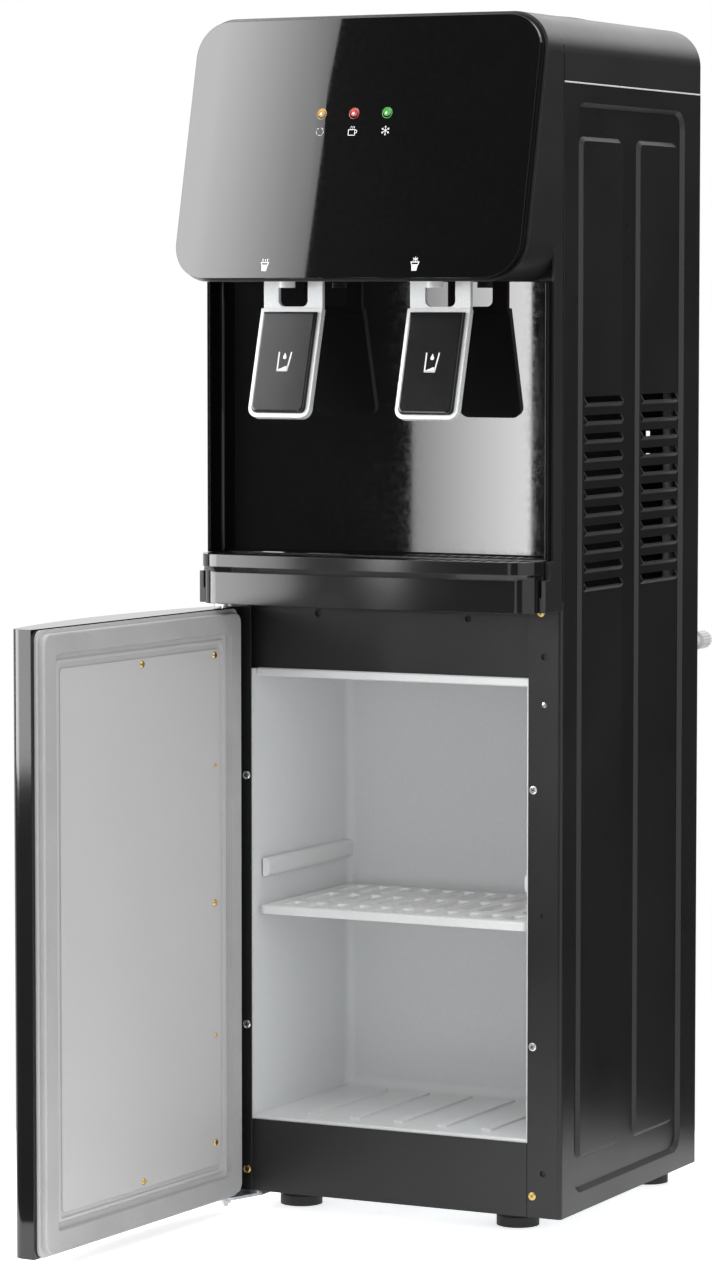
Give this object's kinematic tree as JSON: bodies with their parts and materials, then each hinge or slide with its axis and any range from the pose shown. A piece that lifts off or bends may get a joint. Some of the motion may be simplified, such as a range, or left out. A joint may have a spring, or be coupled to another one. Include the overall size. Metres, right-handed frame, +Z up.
{
  "type": "floor standing water cooler",
  "caption": "Tall black water dispenser with a leaning gloss head, two push levers over a drip tray, louvred sides and an open refrigerated cabinet with a shelf.",
  "frame": {"origin": "on the floor under the middle of the cabinet's front flange plane", "axes": "+Z up, +Y from the front to the back, +X to the right as seen from the front"},
  "size_m": [0.3373, 0.6399, 0.984],
  "materials": {
    "black_steel": "satin, finely textured",
    "galvanised": "dull zinc",
    "black_foot": "matte",
    "white_liner": "satin white",
    "foam": "matte cream foam",
    "white_shelf": "satin white",
    "satin_black": "satin",
    "gloss_black": "high gloss",
    "door_grey": "satin light grey",
    "seal_grey": "soft light grey",
    "brass": "bright",
    "silver_screw": "zinc bright",
    "nylon": "natural nylon",
    "amber_lens": "clear amber",
    "red_lens": "clear red",
    "green_lens": "clear green",
    "board": "solder mask",
    "white_tap": "gloss white",
    "stainless": "bright",
    "silicone": "translucent silicone",
    "black_paint": "gloss enamel",
    "copper": "dull copper",
    "switch_red": "gloss",
    "switch_green": "gloss"
  },
  "bodies": {
    "cabinet": {"side_panel_right": "black_steel", "side_panel_left": "black_steel", "base_pan": "galvanised", "kick_plate": "black_steel", "crossbeam": "black_steel", "decks": "galvanised", "rear_panel_lower": "galvanised", "feet": "black_foot", "fridge_liner": "white_liner", "fridge_insulation": "foam", "hinge_brackets": "galvanised", "hinge_pins": "stainless", "head_casing": "satin_black", "front_fascia": "gloss_black", "indicator_amber": "amber_lens", "indicator_red": "red_lens", "indicator_green": "green_lens", "indicator_board": "board", "niche_panel": "gloss_black", "top_cover": "satin_black", "bottle_receiver": "satin_black", "receiver_spike": "white_tap", "cold_tank": "stainless", "tank_insulation": "foam", "evaporator_coil": "copper", "tap_body_left": "white_tap", "tap_body_right": "white_tap", "lever_pins": "stainless", "lever_springs": "stainless", "hot_tank": "stainless", "hoses": "silicone", "drain_outlet": "white_tap", "compressor_grommets": "black_foot", "compressor": "black_paint", "condenser_tube": "black_paint", "condenser_wires": "black_paint", "condenser_straps": "galvanised", "refrigerant_pipes": "copper", "rear_cover_upper": "black_steel", "switch_housings": "satin_black", "power_inlet": "satin_black", "screws_silver": "silver_screw", "screws_brass": "brass"},
    "door": {"door_shell": "satin_black", "door_foam": "foam", "door_bushes": "nylon", "door_gasket": "seal_grey", "door_inner_panel": "door_grey", "door_screws": "brass"},
    "shelf": {"shelf": "white_shelf"},
    "tray": {"drip_tray": "gloss_black"},
    "grille": {"drip_grille": "gloss_black"},
    "lever_left": {"tap_lever_left": "white_tap", "lever_pad_left": "gloss_black"},
    "lever_right": {"tap_lever_right": "white_tap", "lever_pad_right": "gloss_black"},
    "heater_rocker": {"heater_switch": "switch_red"},
    "cooling_rocker": {"cooling_switch": "switch_green"},
    "cap": {"drain_cap": "white_tap"}
  },
  "joints": [
    {"name": "door_hinge", "type": "hinge", "parent": "cabinet", "child": "door", "pos_m": [-0.142, -0.015, 0.25], "axis": [0, 0, 1], "range_deg": [-17, 93]},
    {"name": "shelf_slide", "type": "slide", "parent": "cabinet", "child": "shelf", "axis": [0, 1, 0], "range_m": [-0.12, 0]},
    {"name": "tray_slide", "type": "slide", "parent": "cabinet", "child": "tray", "axis": [0, -1, 0], "range_m": [0, 0.06]},
    {"name": "grille_lift", "type": "slide", "parent": "tray", "child": "grille", "axis": [0, 0, 1], "range_m": [0, 0.03]},
    {"name": "lever_left_press", "type": "hinge", "parent": "cabinet", "child": "lever_left", "pos_m": [-0.0656, -0.037, 0.777], "axis": [1, 0, 0], "range_deg": [0, 12], "stiffness_Nm_per_rad": 0.3, "springref_deg": -11.46, "deforming": ["lever_springs"]},
    {"name": "lever_right_press", "type": "hinge", "parent": "cabinet", "child": "lever_right", "pos_m": [0.0656, -0.037, 0.777], "axis": [1, 0, 0], "range_deg": [0, 12], "stiffness_Nm_per_rad": 0.3, "springref_deg": -11.46, "deforming": ["lever_springs"]},
    {"name": "heater_switch_tip", "type": "hinge", "parent": "cabinet", "child": "heater_rocker", "pos_m": [0.038, 0.2804, 0.745], "axis": [1, 0, 0], "range_deg": [0, 14]},
    {"name": "cooling_switch_tip", "type": "hinge", "parent": "cabinet", "child": "cooling_rocker", "pos_m": [0.062, 0.2804, 0.745], "axis": [1, 0, 0], "range_deg": [0, 14]},
    {"name": "drain_cap_turn", "type": "hinge", "parent": "cabinet", "child": "cap", "pos_m": [0.14, 0.318, 0.46], "axis": [0, 1, 0], "range_deg": [0, 360]}
  ]
}
